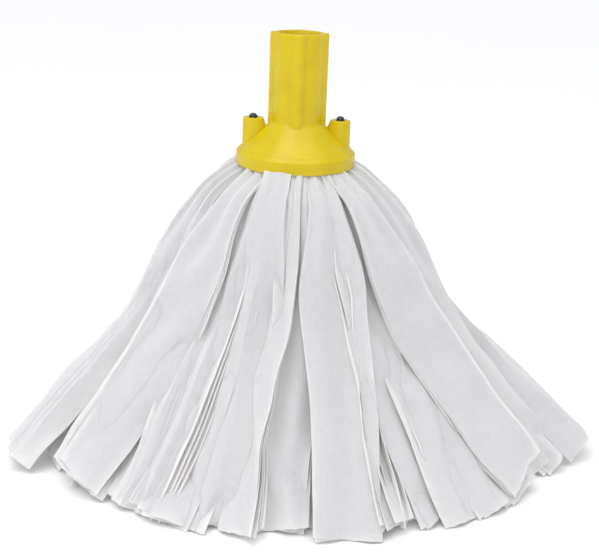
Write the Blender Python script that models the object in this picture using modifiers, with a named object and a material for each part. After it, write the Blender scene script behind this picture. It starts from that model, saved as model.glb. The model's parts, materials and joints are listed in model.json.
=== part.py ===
"""Push-fit mop head: a moulded socket that clamps forty-eight non-woven strips.

The socket is one turned moulding with four outside ribs and two screw bosses. Inside its collar a
clamp plate pulls the folded middle of the strips up against the cone, and two dome-headed screws
come down through the bosses into the plate's posts. Each strip leaves the collar as a leg, and the
legs hang in eight tufts of six layers that stand splayed on the floor.

Metres, +Z up. The origin is on the floor, under the axis of the socket.
"""

import math

import bmesh
import bpy

# Stance: where the collar's lower rim is, and how far the outermost legs reach on the floor.
COLLAR_HEIGHT = 0.188
REACH_SIDE = 0.186
REACH_FRONT = 0.115

# Socket moulding, with heights measured up from the collar's lower rim.
COLLAR_RADIUS = 0.0358
COLLAR_BAND = 0.0074
CONE_HEIGHT = 0.0178
TUBE_RADIUS = 0.0149
TUBE_LENGTH = 0.052
NECK_FILLET = 0.002
WALL = 0.0026
WEB = 0.003
RIB_COUNT = 4
RIB_RADIUS = 0.004
RIB_PROUD = 0.00235
RIB_TOP_STEP = 0.0004

# Handle bore: a blind taper that a round handle is pushed into.
BORE_MOUTH_RADIUS = 0.0124
BORE_TAPER = 0.0006  # how much narrower the bore is at its seat

# Screw bosses and the screws in them.
BOSS_RADIUS = 0.0061
BOSS_DRAFT = 0.0004
BOSS_REACH = 0.026
BOSS_ABOVE_CONE = 0.0015
SCREW_RADIUS = 0.00175
SCREW_LENGTH = 0.0235
SCREW_HEAD_RADIUS = 0.0026
SCREW_HEAD_HEIGHT = 0.0028
HEAD_RECESS = 0.0006

# Clamp plate with its two screw posts.
PLATE_THICKNESS = 0.003
PLATE_RAISED = 0.0006
POST_WALL = 0.00115
POST_HEIGHT = 0.0055
PILOT_FLOOR = 0.0009

# Strips.
TUFTS = 8
LAYERS = 6
STRIP_WIDTH = 0.028
STRIP_THICKNESS = 0.0005
LAYER_PITCH_CLAMPED = 0.001
LAYER_PITCH_FLOOR = 0.0052
BEND_ROOM = 0.0016  # between the collar's lower rim and the top of the legs that swing under it
BULGE = 0.15
LEG_ROWS = 6
LEG_ROW_CROWDING = 1.4  # above 1 puts more of a leg's rows near the collar, where it bends
SWING_IN = math.radians(5)
TUFT_GAP = 0.0005
# Where each layer lies in its tuft, from the outermost in: -1 and 1 are the tuft's two edges.
LAYER_SHARES = (0.0, 0.82, -0.82, 0.36, -0.42, 0.05)
# How far each layer's cut end stays above the floor.
LAYER_LIFTS = (0.0, 0.0025, 0.001, 0.004, 0.003, 0.006)

CLEARANCE = 0.0003
TURN_STEPS = 48
ROUND_SIDES = 24
BOSS_SIDES = 32
DOME_STEPS = 5
FILLET_STEPS = 4
SCREW_POINT = 1.2  # length of the screw's point, in shank radii
CUT_PAST = 0.002

# Heights that follow from the sizes above, in the object's own frame.
RIM_Z = COLLAR_HEIGHT
CONE_FOOT_Z = RIM_Z + COLLAR_BAND
CONE_TOP_Z = CONE_FOOT_Z + CONE_HEIGHT
SOCKET_TOP_Z = CONE_TOP_Z + TUBE_LENGTH
CONE_SLOPE = CONE_HEIGHT / (COLLAR_RADIUS - TUBE_RADIUS)
CONE_WALL_DROP = WALL * math.hypot(1, CONE_SLOPE)
CAVITY_RADIUS = COLLAR_RADIUS - WALL
CAVITY_TOP_Z = CONE_TOP_Z - CONE_WALL_DROP - WALL * CONE_SLOPE / 2
SEAT_Z = CAVITY_TOP_Z + WEB
BORE_SEAT_RADIUS = BORE_MOUTH_RADIUS - BORE_TAPER
BOSS_TOP_Z = CONE_TOP_Z + BOSS_ABOVE_CONE
SCREW_SEAT_Z = BOSS_TOP_Z - HEAD_RECESS
SCREW_HOLE_RADIUS = SCREW_RADIUS + CLEARANCE
POST_RADIUS = SCREW_HOLE_RADIUS + POST_WALL
PLATE_RADIUS = BOSS_REACH + POST_RADIUS + CLEARANCE
PLATE_Z = RIM_Z + PLATE_RAISED
POST_TOP_Z = PLATE_Z + PLATE_THICKNESS + POST_HEIGHT
LEG_TOP_Z = RIM_Z - BEND_ROOM
CLAMPED_REACH = (CAVITY_RADIUS - CLEARANCE) * math.cos(math.pi / TUFTS)


def cone_surface_z(radius):
    """Height of the cone's outer surface at a radius."""
    return CONE_FOOT_Z + (COLLAR_RADIUS - radius) * CONE_SLOPE


def cavity_surface_z(radius):
    """Height of the cone's inner surface at a radius."""
    return cone_surface_z(radius) - CONE_WALL_DROP


def cavity_surface_radius(height):
    """Radius of the cone's inner surface at a height."""
    return COLLAR_RADIUS - (height + CONE_WALL_DROP - CONE_FOOT_Z) / CONE_SLOPE


def clear_scene():
    """Removes whatever the scene held before."""
    for old in list(bpy.data.objects):
        bpy.data.objects.remove(old, do_unlink=True)


def new_collection(name):
    """A collection linked to the scene."""
    collection = bpy.data.collections.new(name)
    bpy.context.scene.collection.children.link(collection)
    return collection


def new_material(name, colour, roughness, metallic=0.0):
    """A Principled material of one colour."""
    material = bpy.data.materials.new(name)
    material.use_nodes = True
    shader = material.node_tree.nodes["Principled BSDF"]
    shader.inputs["Base Color"].default_value = (*colour, 1.0)
    shader.inputs["Roughness"].default_value = roughness
    shader.inputs["Metallic"].default_value = metallic
    return material


def add_object(name, mesh, collection, material=None):
    """An object for a mesh, in a collection."""
    made = bpy.data.objects.new(name, mesh)
    collection.objects.link(made)
    if material:
        mesh.materials.append(material)
    return made


def as_cutter(tool):
    """Marks an object as a helper that isn't part of the model."""
    tool.hide_render = True
    tool.display_type = "WIRE"
    return tool


def turned(name, profile, collection, material=None):
    """A solid turned about Z from (radius, height) points that run down its outer side."""
    mesh = bpy.data.meshes.new(name)
    points = [(radius, 0.0, height) for radius, height in profile]
    mesh.from_pydata(points, [(i, i + 1) for i in range(len(points) - 1)], [])
    made = add_object(name, mesh, collection, material)
    screw = made.modifiers.new("Turn", "SCREW")
    screw.steps = screw.render_steps = TURN_STEPS
    screw.use_merge_vertices = True
    screw.merge_threshold = 0.00005
    screw.use_smooth_shade = True
    return made


def upright_cone(name, low, high, radius_low, radius_high, place, collection, sides=ROUND_SIDES):
    """A closed cone or cylinder between two heights, at an (x, y) place."""
    mesh = bpy.data.meshes.new(name)
    shape = bmesh.new()
    bmesh.ops.create_cone(
        shape,
        cap_ends=True,
        segments=sides,
        radius1=radius_low,
        radius2=radius_high,
        depth=high - low,
    )
    shape.to_mesh(mesh)
    shape.free()
    made = add_object(name, mesh, collection)
    made.location = (place[0], place[1], (low + high) / 2)
    return made


def combine(target, tool, operation):
    """Adds a Boolean of one object with another."""
    modifier = target.modifiers.new(f"{operation.title()} {tool.name}", "BOOLEAN")
    modifier.operation = operation
    modifier.object = as_cutter(tool)


def boss_places():
    """(side name, (x, y)) of the two screw bosses."""
    return (("left", (-BOSS_REACH, 0.0)), ("right", (BOSS_REACH, 0.0)))


def neck_fillet():
    """Points of the hollow round where the tube runs into the cone, from the tube down."""
    turn = math.atan(1 / CONE_SLOPE)
    centre_radius = TUBE_RADIUS + NECK_FILLET
    centre_z = CONE_TOP_Z + NECK_FILLET * math.tan(turn / 2)
    angles = [turn * i / FILLET_STEPS for i in range(FILLET_STEPS + 1)]
    return [(centre_radius - NECK_FILLET * math.cos(a), centre_z - NECK_FILLET * math.sin(a)) for a in angles]


def build_socket(parts, cutters, plastic):
    """The moulding: tube, cone and collar in one, with ribs, bosses, bore and strip cavity."""
    outline = [
        (0.0, SOCKET_TOP_Z),
        (TUBE_RADIUS, SOCKET_TOP_Z),
        *neck_fillet(),
        (COLLAR_RADIUS, CONE_FOOT_Z),
        (COLLAR_RADIUS, RIM_Z),
        (0.0, RIM_Z),
    ]
    socket = turned("socket", outline, parts, plastic)
    rib_reach = TUBE_RADIUS + RIB_PROUD - RIB_RADIUS
    rib_foot = cavity_surface_z(rib_reach + RIB_RADIUS) + WALL / 2
    for i in range(RIB_COUNT):
        angle = math.tau * i / RIB_COUNT
        place = (rib_reach * math.cos(angle), rib_reach * math.sin(angle))
        rib = upright_cone(
            f"rib_{i + 1}", rib_foot, SOCKET_TOP_Z - RIB_TOP_STEP, RIB_RADIUS, RIB_RADIUS, place, cutters
        )
        combine(socket, rib, "UNION")
    for side, place in boss_places():
        foot_radius = BOSS_RADIUS + BOSS_DRAFT
        boss = upright_cone(
            f"boss_{side}", CONE_FOOT_Z, BOSS_TOP_Z, foot_radius, BOSS_RADIUS, place, cutters, BOSS_SIDES
        )
        combine(socket, boss, "UNION")
    bore_slope = (BORE_MOUTH_RADIUS - BORE_SEAT_RADIUS) / (SOCKET_TOP_Z - SEAT_Z)
    bore_past = BORE_MOUTH_RADIUS + bore_slope * CUT_PAST
    bore = upright_cone(
        "bore", SEAT_Z, SOCKET_TOP_Z + CUT_PAST, BORE_SEAT_RADIUS, bore_past, (0.0, 0.0), cutters, TURN_STEPS
    )
    combine(socket, bore, "DIFFERENCE")
    cavity = turned(
        "cavity",
        [
            (0.0, CAVITY_TOP_Z),
            (cavity_surface_radius(CAVITY_TOP_Z), CAVITY_TOP_Z),
            (CAVITY_RADIUS, cavity_surface_z(CAVITY_RADIUS)),
            (CAVITY_RADIUS, RIM_Z - CUT_PAST),
            (0.0, RIM_Z - CUT_PAST),
        ],
        cutters,
    )
    combine(socket, cavity, "DIFFERENCE")
    for side, place in boss_places():
        hole_low = cavity_surface_z(BOSS_REACH + BOSS_RADIUS) - CUT_PAST
        hole_top = BOSS_TOP_Z + CUT_PAST
        hole = upright_cone(
            f"screw_hole_{side}", hole_low, hole_top, SCREW_HOLE_RADIUS, SCREW_HOLE_RADIUS, place, cutters
        )
        combine(socket, hole, "DIFFERENCE")
        recess_radius = SCREW_HEAD_RADIUS + CLEARANCE
        recess = upright_cone(
            f"head_recess_{side}", SCREW_SEAT_Z, hole_top, recess_radius, recess_radius, place, cutters
        )
        combine(socket, recess, "DIFFERENCE")
    return socket


def build_clamp_plate(parts, cutters, plastic):
    """The round plate under the strips' folded middle, with a blind-drilled post for each screw."""
    plate_top = PLATE_Z + PLATE_THICKNESS
    plate = turned(
        "clamp_plate",
        [(0.0, plate_top), (PLATE_RADIUS, plate_top), (PLATE_RADIUS, PLATE_Z), (0.0, PLATE_Z)],
        parts,
        plastic,
    )
    for side, place in boss_places():
        post_low = PLATE_Z + PLATE_THICKNESS / 2
        post = upright_cone(f"post_{side}", post_low, POST_TOP_Z, POST_RADIUS, POST_RADIUS, place, cutters)
        combine(plate, post, "UNION")
    for side, place in boss_places():
        pilot = upright_cone(
            f"pilot_{side}",
            PLATE_Z + PILOT_FLOOR,
            POST_TOP_Z + CUT_PAST,
            SCREW_HOLE_RADIUS,
            SCREW_HOLE_RADIUS,
            place,
            cutters,
        )
        combine(plate, pilot, "DIFFERENCE")
    return plate


def build_strip_fold(parts, cutters, fabric):
    """The folded middle of all the strips, packed between the plate and the cone."""
    inside = CAVITY_RADIUS - CLEARANCE
    top = CAVITY_TOP_Z - CLEARANCE
    drop = CLEARANCE * math.hypot(1, CONE_SLOPE)
    floor = PLATE_Z + PLATE_THICKNESS + CLEARANCE
    fold = turned(
        "strip_fold",
        [
            (0.0, top),
            (cavity_surface_radius(top + drop), top),
            (inside, cavity_surface_z(inside) - drop),
            (inside, RIM_Z + CLEARANCE),
            (PLATE_RADIUS + CLEARANCE, RIM_Z + CLEARANCE),
            (PLATE_RADIUS + CLEARANCE, floor),
            (0.0, floor),
        ],
        parts,
        fabric,
    )
    for side, place in boss_places():
        around_post, around_screw = POST_RADIUS + CLEARANCE, SCREW_HOLE_RADIUS
        room_top = POST_TOP_Z + CLEARANCE
        post_room = upright_cone(
            f"post_room_{side}", floor - CUT_PAST / 2, room_top, around_post, around_post, place, cutters
        )
        combine(fold, post_room, "DIFFERENCE")
        screw_room = upright_cone(
            f"screw_room_{side}", POST_TOP_Z, SOCKET_TOP_Z, around_screw, around_screw, place, cutters
        )
        combine(fold, screw_room, "DIFFERENCE")
    return fold


def build_screw(side, place, parts, steel):
    """A dome-headed screw: a half-round head on a plain shank with a short point."""
    seat = SCREW_SEAT_Z + CLEARANCE
    angles = [math.pi / 2 * i / DOME_STEPS for i in range(DOME_STEPS + 1)]
    head = [(SCREW_HEAD_RADIUS * math.sin(a), seat + SCREW_HEAD_HEIGHT * math.cos(a)) for a in angles]
    tip = SCREW_SEAT_Z - SCREW_LENGTH
    shank = [
        (SCREW_RADIUS, seat),
        (SCREW_RADIUS, tip + SCREW_POINT * SCREW_RADIUS),
        (SCREW_RADIUS / 3, tip),
        (0.0, tip),
    ]
    screw = turned(f"screw_{side}", head + shank, parts, steel)
    screw.modifiers["Turn"].steps = screw.modifiers["Turn"].render_steps = ROUND_SIDES
    screw.location = (place[0], place[1], 0.0)


def floor_reach(angle):
    """How far the outermost leg reaches on the floor at an azimuth: an ellipse, wider than it is deep."""
    return 1 / math.hypot(math.cos(angle) / REACH_SIDE, math.sin(angle) / REACH_FRONT)


def leg_point(angle, layer, drop, across):
    """A point on a leg's outer face, at a share of its drop and from -1 to 1 across it.

    The layers of a tuft are parallel slabs, so they can't meet however far each is moved sideways. A
    tuft keeps to its own wedge of the circle even when it and its neighbours have swung in, and near
    the collar that makes a leg narrower than the strip, which is pleated there.
    """
    clamped = CLAMPED_REACH - layer * LAYER_PITCH_CLAMPED
    spread = floor_reach(angle) - layer * LAYER_PITCH_FLOOR
    reach = clamped + (spread - clamped) * drop * (1 + BULGE * (1 - drop))
    height = LEG_TOP_Z + (LAYER_LIFTS[layer] - LEG_TOP_Z) * drop
    swung_in = math.sin(SWING_IN) * (LEG_TOP_Z - height)
    inner_face = reach - swung_in - 2 * STRIP_THICKNESS
    room = math.tan(math.pi / TUFTS) * inner_face - TUFT_GAP
    half = min(STRIP_WIDTH / 2, room)
    beside = LAYER_SHARES[layer] * (room - half) + across * half
    return (
        reach * math.cos(angle) - beside * math.sin(angle),
        reach * math.sin(angle) + beside * math.cos(angle),
        height,
    )


def build_leg(tuft, layer, parts, fabric):
    """One hanging leg of a strip, as a grid laid out along its fall and thickened inwards."""
    name = f"strip_{tuft + 1}{'abcdef'[layer]}"
    mesh = bpy.data.meshes.new(name)
    sheet = bmesh.new()
    bmesh.ops.create_grid(sheet, x_segments=1, y_segments=LEG_ROWS, size=1.0)
    for vertex in sheet.verts:
        drop = ((1 - vertex.co.y) / 2) ** LEG_ROW_CROWDING
        vertex.co = leg_point(math.tau * tuft / TUFTS, layer, drop, vertex.co.x)
    bmesh.ops.recalc_face_normals(sheet, faces=sheet.faces)
    outward = sum((face.normal.xy.dot(face.calc_center_median().xy) for face in sheet.faces))
    if outward < 0:
        bmesh.ops.reverse_faces(sheet, faces=sheet.faces)
    sheet.to_mesh(mesh)
    sheet.free()
    leg = add_object(name, mesh, parts, fabric)
    thicken = leg.modifiers.new("Thickness", "SOLIDIFY")
    thicken.thickness = STRIP_THICKNESS
    thicken.offset = -1.0


def main():
    """Builds every part of the mop head."""
    clear_scene()
    parts = new_collection("mop_head")
    cutters = new_collection("cutters")
    yellow = new_material("yellow_polypropylene", (0.80, 0.62, 0.035), 0.42)
    white = new_material("white_nonwoven", (0.86, 0.86, 0.85), 0.95)
    black = new_material("black_screw_steel", (0.012, 0.012, 0.014), 0.3, 1.0)
    build_socket(parts, cutters, yellow)
    build_clamp_plate(parts, cutters, yellow)
    build_strip_fold(parts, cutters, white)
    for side, place in boss_places():
        build_screw(side, place, parts, black)
    for tuft in range(TUFTS):
        for layer in range(LAYERS):
            build_leg(tuft, layer, parts, white)


main()
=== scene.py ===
"""Looks of a push-in mop head: a yellow moulded socket over a skirt of white non-woven strips.

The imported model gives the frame. The moulding, its two dome-headed screws, the clamped middle of the
strips and every hanging leg are rebuilt here with their real surfaces. Lengths are in metres, the
floor is at zero height, and the socket's axis is the Z axis. An azimuth is measured in degrees from
the front, which faces -Y, and grows towards the right, which faces +X.
"""

import json
import logging
import math
import random
from dataclasses import dataclass, field
from enum import Enum

import bmesh
import bpy
import numpy as np
from mathutils import Matrix, Quaternion, Vector


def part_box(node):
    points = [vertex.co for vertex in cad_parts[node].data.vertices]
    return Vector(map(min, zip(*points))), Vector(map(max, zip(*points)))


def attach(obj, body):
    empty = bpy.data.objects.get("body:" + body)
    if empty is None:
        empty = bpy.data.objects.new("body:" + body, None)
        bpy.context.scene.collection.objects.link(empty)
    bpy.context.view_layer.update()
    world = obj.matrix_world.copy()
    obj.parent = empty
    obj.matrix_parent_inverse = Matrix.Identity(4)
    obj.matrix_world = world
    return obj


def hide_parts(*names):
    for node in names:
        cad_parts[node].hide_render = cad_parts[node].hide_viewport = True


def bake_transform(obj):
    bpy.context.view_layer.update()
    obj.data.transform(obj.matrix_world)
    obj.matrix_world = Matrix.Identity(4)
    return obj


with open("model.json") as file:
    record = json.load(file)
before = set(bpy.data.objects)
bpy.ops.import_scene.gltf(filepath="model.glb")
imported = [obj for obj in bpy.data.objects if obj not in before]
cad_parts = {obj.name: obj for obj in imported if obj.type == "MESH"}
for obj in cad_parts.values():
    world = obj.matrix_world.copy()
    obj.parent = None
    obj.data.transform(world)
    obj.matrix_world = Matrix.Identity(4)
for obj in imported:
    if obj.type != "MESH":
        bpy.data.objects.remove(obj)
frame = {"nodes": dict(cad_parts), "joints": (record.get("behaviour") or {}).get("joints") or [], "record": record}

log = logging.getLogger("mop_head")
Colour = tuple[float, float, float]
Point = tuple[float, float, float]
Profile = list[tuple[float, float]]
Curve = tuple[tuple[float, float], ...]
HEAD = "head"


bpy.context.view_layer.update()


# ---------------------------------------------------------------- shader tools


class Tree:
    """Adds nodes to one node tree and joins them."""

    def __init__(self, tree: bpy.types.NodeTree) -> None:
        """Keeps the tree that the nodes go into."""
        self.tree = tree

    def feed(self, node: bpy.types.Node, values: dict) -> None:
        """Gives a node's inputs their values.

        Args:
            node: the node.
            values: input names or numbers, each with a constant or with an output socket to join.
        """
        for name, value in values.items():
            if isinstance(value, bpy.types.NodeSocket):
                self.tree.links.new(value, node.inputs[name])
            else:
                node.inputs[name].default_value = value

    def add(self, kind: str, values: dict | None = None, **settings: object) -> bpy.types.Node:
        """Adds one node.

        Args:
            kind: the node's type name, without its ShaderNode prefix.
            values: what its inputs take, as for feed.
            settings: properties of the node itself.

        Returns:
            The new node.
        """
        node = self.tree.nodes.new(kind if kind.startswith("Node") else f"ShaderNode{kind}")
        for name, value in settings.items():
            setattr(node, name, value)
        self.feed(node, values or {})
        return node

    def math(self, operation: str, *terms: object) -> bpy.types.NodeSocket:
        """The result of a Math node on up to three constants or output sockets."""
        return self.add("Math", dict(enumerate(terms)), operation=operation).outputs[0]

    def ramp(
        self, mask: object, colours: tuple[Colour, Colour], start: float, end: float
    ) -> bpy.types.NodeSocket:
        """A colour that runs from one to another as a mask grows.

        Args:
            mask: the output socket that drives it.
            colours: the colour up to the start and the colour from the end on.
            start: where in the mask the run begins.
            end: where in the mask it ends.

        Returns:
            The colour's output socket.
        """
        node = self.add("ValToRGB", {"Fac": mask})
        for stop, place, colour in zip(node.color_ramp.elements, (start, end), colours):
            stop.position = place
            stop.color = (*colour, 1)
        return node.outputs[0]

    def bump(self, height: object, strength: float, depth: float) -> bpy.types.NodeSocket:
        """The normal of a relief with a strength and a depth."""
        values = {"Height": height, "Strength": strength, "Distance": depth}
        return self.add("Bump", values).outputs[0]

    def between(self, mask: object, limits: tuple[float, float]) -> bpy.types.NodeSocket:
        """A value that runs between two limits as a mask goes from 0 to 1."""
        values = {"Value": mask, "To Min": limits[0], "To Max": limits[1]}
        return self.add("MapRange", values).outputs[0]

    def grain(
        self, place: object, size: float, patch: float, stretch: float = 1.0
    ) -> bpy.types.bpy_prop_collection:
        """Places the surface grain group in a material.

        Args:
            place: where on the surface, as an output socket.
            size: size of one grain.
            patch: size of one patch of tone.
            stretch: how many times longer than wide a grain is.

        Returns:
            The group's outputs, Height and Patches.
        """
        values = {"Place": place, "Grain Size": size, "Stretch": stretch, "Patch Size": patch}
        return self.add("Group", values, node_tree=grain_group()).outputs


def grain_group() -> bpy.types.NodeTree:
    """The group for fine surface grain, which the plastic, the steel and the cloth share.

    Returns:
        A group that takes a place, a grain size and a stretch along the place's second axis, and gives
        a height between 0 and 1 and a softer, larger mask for patches of tone.
    """
    name = "surface_grain"
    group = bpy.data.node_groups.get(name)
    if group:
        return group
    group = bpy.data.node_groups.new(name, "ShaderNodeTree")
    group.interface.new_socket("Place", in_out="INPUT", socket_type="NodeSocketVector")
    for label, size in {"Grain Size": 0.0004, "Stretch": 1.0, "Patch Size": 0.01}.items():
        socket = group.interface.new_socket(label, in_out="INPUT", socket_type="NodeSocketFloat")
        socket.default_value = size
    for label in ("Height", "Patches"):
        group.interface.new_socket(label, in_out="OUTPUT", socket_type="NodeSocketFloat")
    tree = Tree(group)
    taken = tree.add("NodeGroupInput").outputs
    drawn = tree.math("DIVIDE", 1.0, taken["Stretch"])
    stretch = tree.add("CombineXYZ", {"X": 1.0, "Y": drawn, "Z": 1.0}).outputs[0]
    place = tree.add("VectorMath", {0: taken["Place"], 1: stretch}, operation="MULTIPLY").outputs[0]
    given = tree.add("NodeGroupOutput")
    for label, size, detail in (("Height", "Grain Size", 3.0), ("Patches", "Patch Size", 2.0)):
        scale = tree.math("DIVIDE", 1.0, taken[size])
        noise = tree.add("TexNoise", {"Vector": place, "Scale": scale, "Detail": detail})
        tree.feed(given, {label: noise.outputs[0]})
    return group


def start_material(name: str) -> tuple[bpy.types.Material, Tree, bpy.types.Node]:
    """Starts a material.

    Args:
        name: the material's name.

    Returns:
        The material, a Tree for its nodes and its Principled shader.
    """
    material = bpy.data.materials.new(name)
    material.use_nodes = True
    return material, Tree(material.node_tree), material.node_tree.nodes["Principled BSDF"]


@dataclass(frozen=True)
class MouldedPlastic:
    """Satin polypropylene with moulding grain and faint rings turned into the tool."""

    name: str = "yellow_moulded_polypropylene"
    deep: Colour = (0.68, 0.51, 0.003)
    bright: Colour = (0.73, 0.565, 0.005)
    roughness: tuple[float, float] = (0.24, 0.34)
    grain: float = 0.00035
    patch: float = 0.014
    ring_pitch: float = 0.0011
    ring_share: float = 0.16
    relief: float = 0.22
    relief_depth: float = 0.00012

    def build(self) -> bpy.types.Material:
        """Makes the material.

        Returns:
            The finished material.
        """
        material, tree, shader = start_material(self.name)
        place = tree.add("TexCoord").outputs["Object"]
        grain = tree.grain(place, self.grain, self.patch)
        apart = tree.add("SeparateXYZ", {"Vector": place}).outputs
        squares = [tree.math("POWER", apart[axis], 2.0) for axis in ("X", "Y")]
        radius = tree.math("SQRT", tree.math("ADD", *squares))
        rings = tree.math("SINE", tree.math("MULTIPLY", radius, math.tau / self.ring_pitch))
        height = tree.math("ADD", grain["Height"], tree.math("MULTIPLY", rings, self.ring_share))
        tree.feed(shader, {
            "Base Color": tree.ramp(grain["Patches"], (self.deep, self.bright), 0.3, 0.62),
            "Roughness": tree.between(grain["Height"], self.roughness),
            "Normal": tree.bump(height, self.relief, self.relief_depth),
            "Specular IOR Level": 0.35,
            "Subsurface Weight": 0.3,
            "Subsurface Radius": (0.006, 0.0045, 0.001),
            "Subsurface Scale": 1.0,
        })
        return material


@dataclass(frozen=True)
class BlackedSteel:
    """Glossy black finish of the screws."""

    name: str = "black_finished_steel"
    dark: Colour = (0.006, 0.006, 0.008)
    light: Colour = (0.018, 0.018, 0.022)
    roughness: tuple[float, float] = (0.1, 0.26)
    grain: float = 0.0002
    patch: float = 0.0015
    relief: float = 0.12
    relief_depth: float = 0.00005

    def build(self) -> bpy.types.Material:
        """Makes the material.

        Returns:
            The finished material.
        """
        material, tree, shader = start_material(self.name)
        place = tree.add("TexCoord").outputs["Object"]
        grain = tree.grain(place, self.grain, self.patch)
        tree.feed(shader, {
            "Base Color": tree.ramp(grain["Patches"], (self.dark, self.light), 0.3, 0.7),
            "Roughness": tree.between(grain["Patches"], self.roughness),
            "Normal": tree.bump(grain["Height"], self.relief, self.relief_depth),
            "Coat Weight": 0.4,
        })
        return material


@dataclass(frozen=True)
class NonWoven:
    """Soft non-woven cloth: drawn fibres, faint cloudiness and a little fuzz."""

    name: str = "white_nonwoven"
    thin: Colour = (0.86, 0.838, 0.806)
    thick: Colour = (0.9, 0.882, 0.856)
    fibre: float = 0.00022
    fibre_stretch: float = 14.0
    fibre_tuft: float = 0.0009
    felt: float = 0.0006
    felt_stretch: float = 1.6
    cloud: float = 0.0035
    relief: float = 0.35
    relief_depth: float = 0.0003

    def build(self) -> bpy.types.Material:
        """Makes the material.

        Returns:
            The finished material.
        """
        material, tree, shader = start_material(self.name)
        place = tree.add("UVMap", uv_map="cloth").outputs["UV"]
        fibres = tree.grain(place, self.fibre, self.fibre_tuft, self.fibre_stretch)
        felt = tree.grain(place, self.felt, self.cloud, self.felt_stretch)
        clouds = tree.math("MULTIPLY", felt["Patches"], 0.6)
        tone = tree.math("ADD", clouds, tree.math("MULTIPLY", fibres["Patches"], 0.4))
        height = tree.math("ADD", fibres["Height"], tree.math("MULTIPLY", felt["Height"], 0.8))
        height = tree.math("ADD", height, tree.math("MULTIPLY", fibres["Patches"], 0.9))
        tree.feed(shader, {
            "Base Color": tree.ramp(tone, (self.thin, self.thick), 0.32, 0.62),
            "Normal": tree.bump(height, self.relief, self.relief_depth),
            "Roughness": 0.95,
            "Specular IOR Level": 0.2,
            "Sheen Weight": 0.25,
            "Sheen Roughness": 0.6,
            "Subsurface Weight": 0.65,
            "Subsurface Radius": (0.0034, 0.0032, 0.0029),
            "Subsurface Scale": 1.0,
        })
        return material


# ---------------------------------------------------------------- mesh tools


def new_object(
    name: str, points: np.ndarray, faces: list[tuple[int, ...]], finish: bpy.types.Material
) -> bpy.types.Object:
    """Puts a mesh object in the scene.

    Args:
        name: the piece's name.
        points: one row of x, y and z for each vertex.
        faces: vertex numbers of each face, counterclockwise from outside.
        finish: the material.

    Returns:
        The object.
    """
    mesh = bpy.data.meshes.new(name)
    mesh.from_pydata(points.tolist(), [], faces)
    mesh.materials.append(finish)
    made = bpy.data.objects.new(name, mesh)
    bpy.context.scene.collection.objects.link(made)
    return made


def face_outwards(made: bpy.types.Object) -> None:
    """Turns a closed mesh's faces to the outside.

    Args:
        made: the object with the mesh.
    """
    shape = bmesh.new()
    shape.from_mesh(made.data)
    bmesh.ops.remove_doubles(shape, verts=shape.verts, dist=1e-6)
    bmesh.ops.recalc_face_normals(shape, faces=shape.faces)
    shape.to_mesh(made.data)
    shape.free()


def shade(made: bpy.types.Object, degrees: float = 35.0) -> None:
    """Smooth shading with sharp edges where faces meet at more than an angle."""
    made.data.shade_smooth()
    made.data.set_sharp_from_angle(angle=math.radians(degrees))


def lathe(name: str, profile: Profile, finish: bpy.types.Material, steps: int) -> bpy.types.Object:
    """A closed solid turned about Z.

    Args:
        name: the piece's name.
        profile: (radius, height) points, the first and the last of them on the axis.
        finish: the material.
        steps: how many faces go round.

    Returns:
        The solid.
    """
    angles = [math.tau * i / steps for i in range(steps)]
    points, rings = [], []
    for radius, height in profile:
        if radius < 1e-7:
            rings.append([len(points)] * steps)
            points.append((0.0, 0.0, height))
            continue
        rings.append(list(range(len(points), len(points) + steps)))
        points += [(radius * math.cos(a), radius * math.sin(a), height) for a in angles]
    faces = []
    for above, below in zip(rings, rings[1:]):
        for i in range(steps):
            j = (i + 1) % steps
            corner = list(dict.fromkeys((above[i], below[i], below[j], above[j])))
            if len(corner) > 2:
                faces.append(tuple(corner))
    made = new_object(name, np.array(points), faces, finish)
    face_outwards(made)
    return made


def rounded(profile: Profile, radii: dict[int, float], steps: int = 5) -> Profile:
    """Rounds some corners of a profile.

    Args:
        profile: (radius, height) points.
        radii: the fillet radius for each corner number that gets one.
        steps: how many stretches each round has.

    Returns:
        The profile with an arc in place of each rounded corner.
    """
    result: Profile = []
    for number, corner in enumerate(profile):
        if number not in radii:
            result.append(corner)
            continue
        here = Vector(corner)
        before = (Vector(profile[number - 1]) - here).normalized()
        after = (Vector(profile[number + 1]) - here).normalized()
        half = before.angle(after) / 2
        back = radii[number] / math.tan(half)
        centre = here + (before + after).normalized() * (radii[number] / math.sin(half))
        start, end = here + before * back - centre, here + after * back - centre
        turn = start.angle_signed(end)
        for step in range(steps + 1):
            spoke = start.copy()
            spoke.rotate(Matrix.Rotation(-turn * step / steps, 2))
            result.append(tuple(centre + spoke))
    return result


def boolean(made: bpy.types.Object, tool: bpy.types.Object, operation: str) -> None:
    """Joins or cuts an object with a tool, which is then removed.

    Args:
        made: the object.
        tool: the other closed solid.
        operation: UNION or DIFFERENCE.
    """
    modifier = made.modifiers.new(operation, "BOOLEAN")
    modifier.operation = operation
    modifier.solver = "EXACT"
    modifier.object = tool
    graph = bpy.context.evaluated_depsgraph_get()
    mesh = bpy.data.meshes.new_from_object(made.evaluated_get(graph))
    made.modifiers.clear()
    made.data = mesh
    bpy.data.objects.remove(tool, do_unlink=True)


def add_cloth_map(made: bpy.types.Object, girth: float = 0.03) -> None:
    """Gives a turned piece a cloth map: round the axis across, and height along.

    Args:
        made: the piece.
        girth: radius at which the map is true to size across.
    """
    layer = made.data.uv_layers.new(name="cloth")
    for loop in made.data.loops:
        point = made.data.vertices[loop.vertex_index].co
        radius = math.hypot(point.x, point.y)
        layer.data[loop.index].uv = (girth * math.atan2(point.y, point.x), point.z + radius)


# ---------------------------------------------------------------- the head


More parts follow.
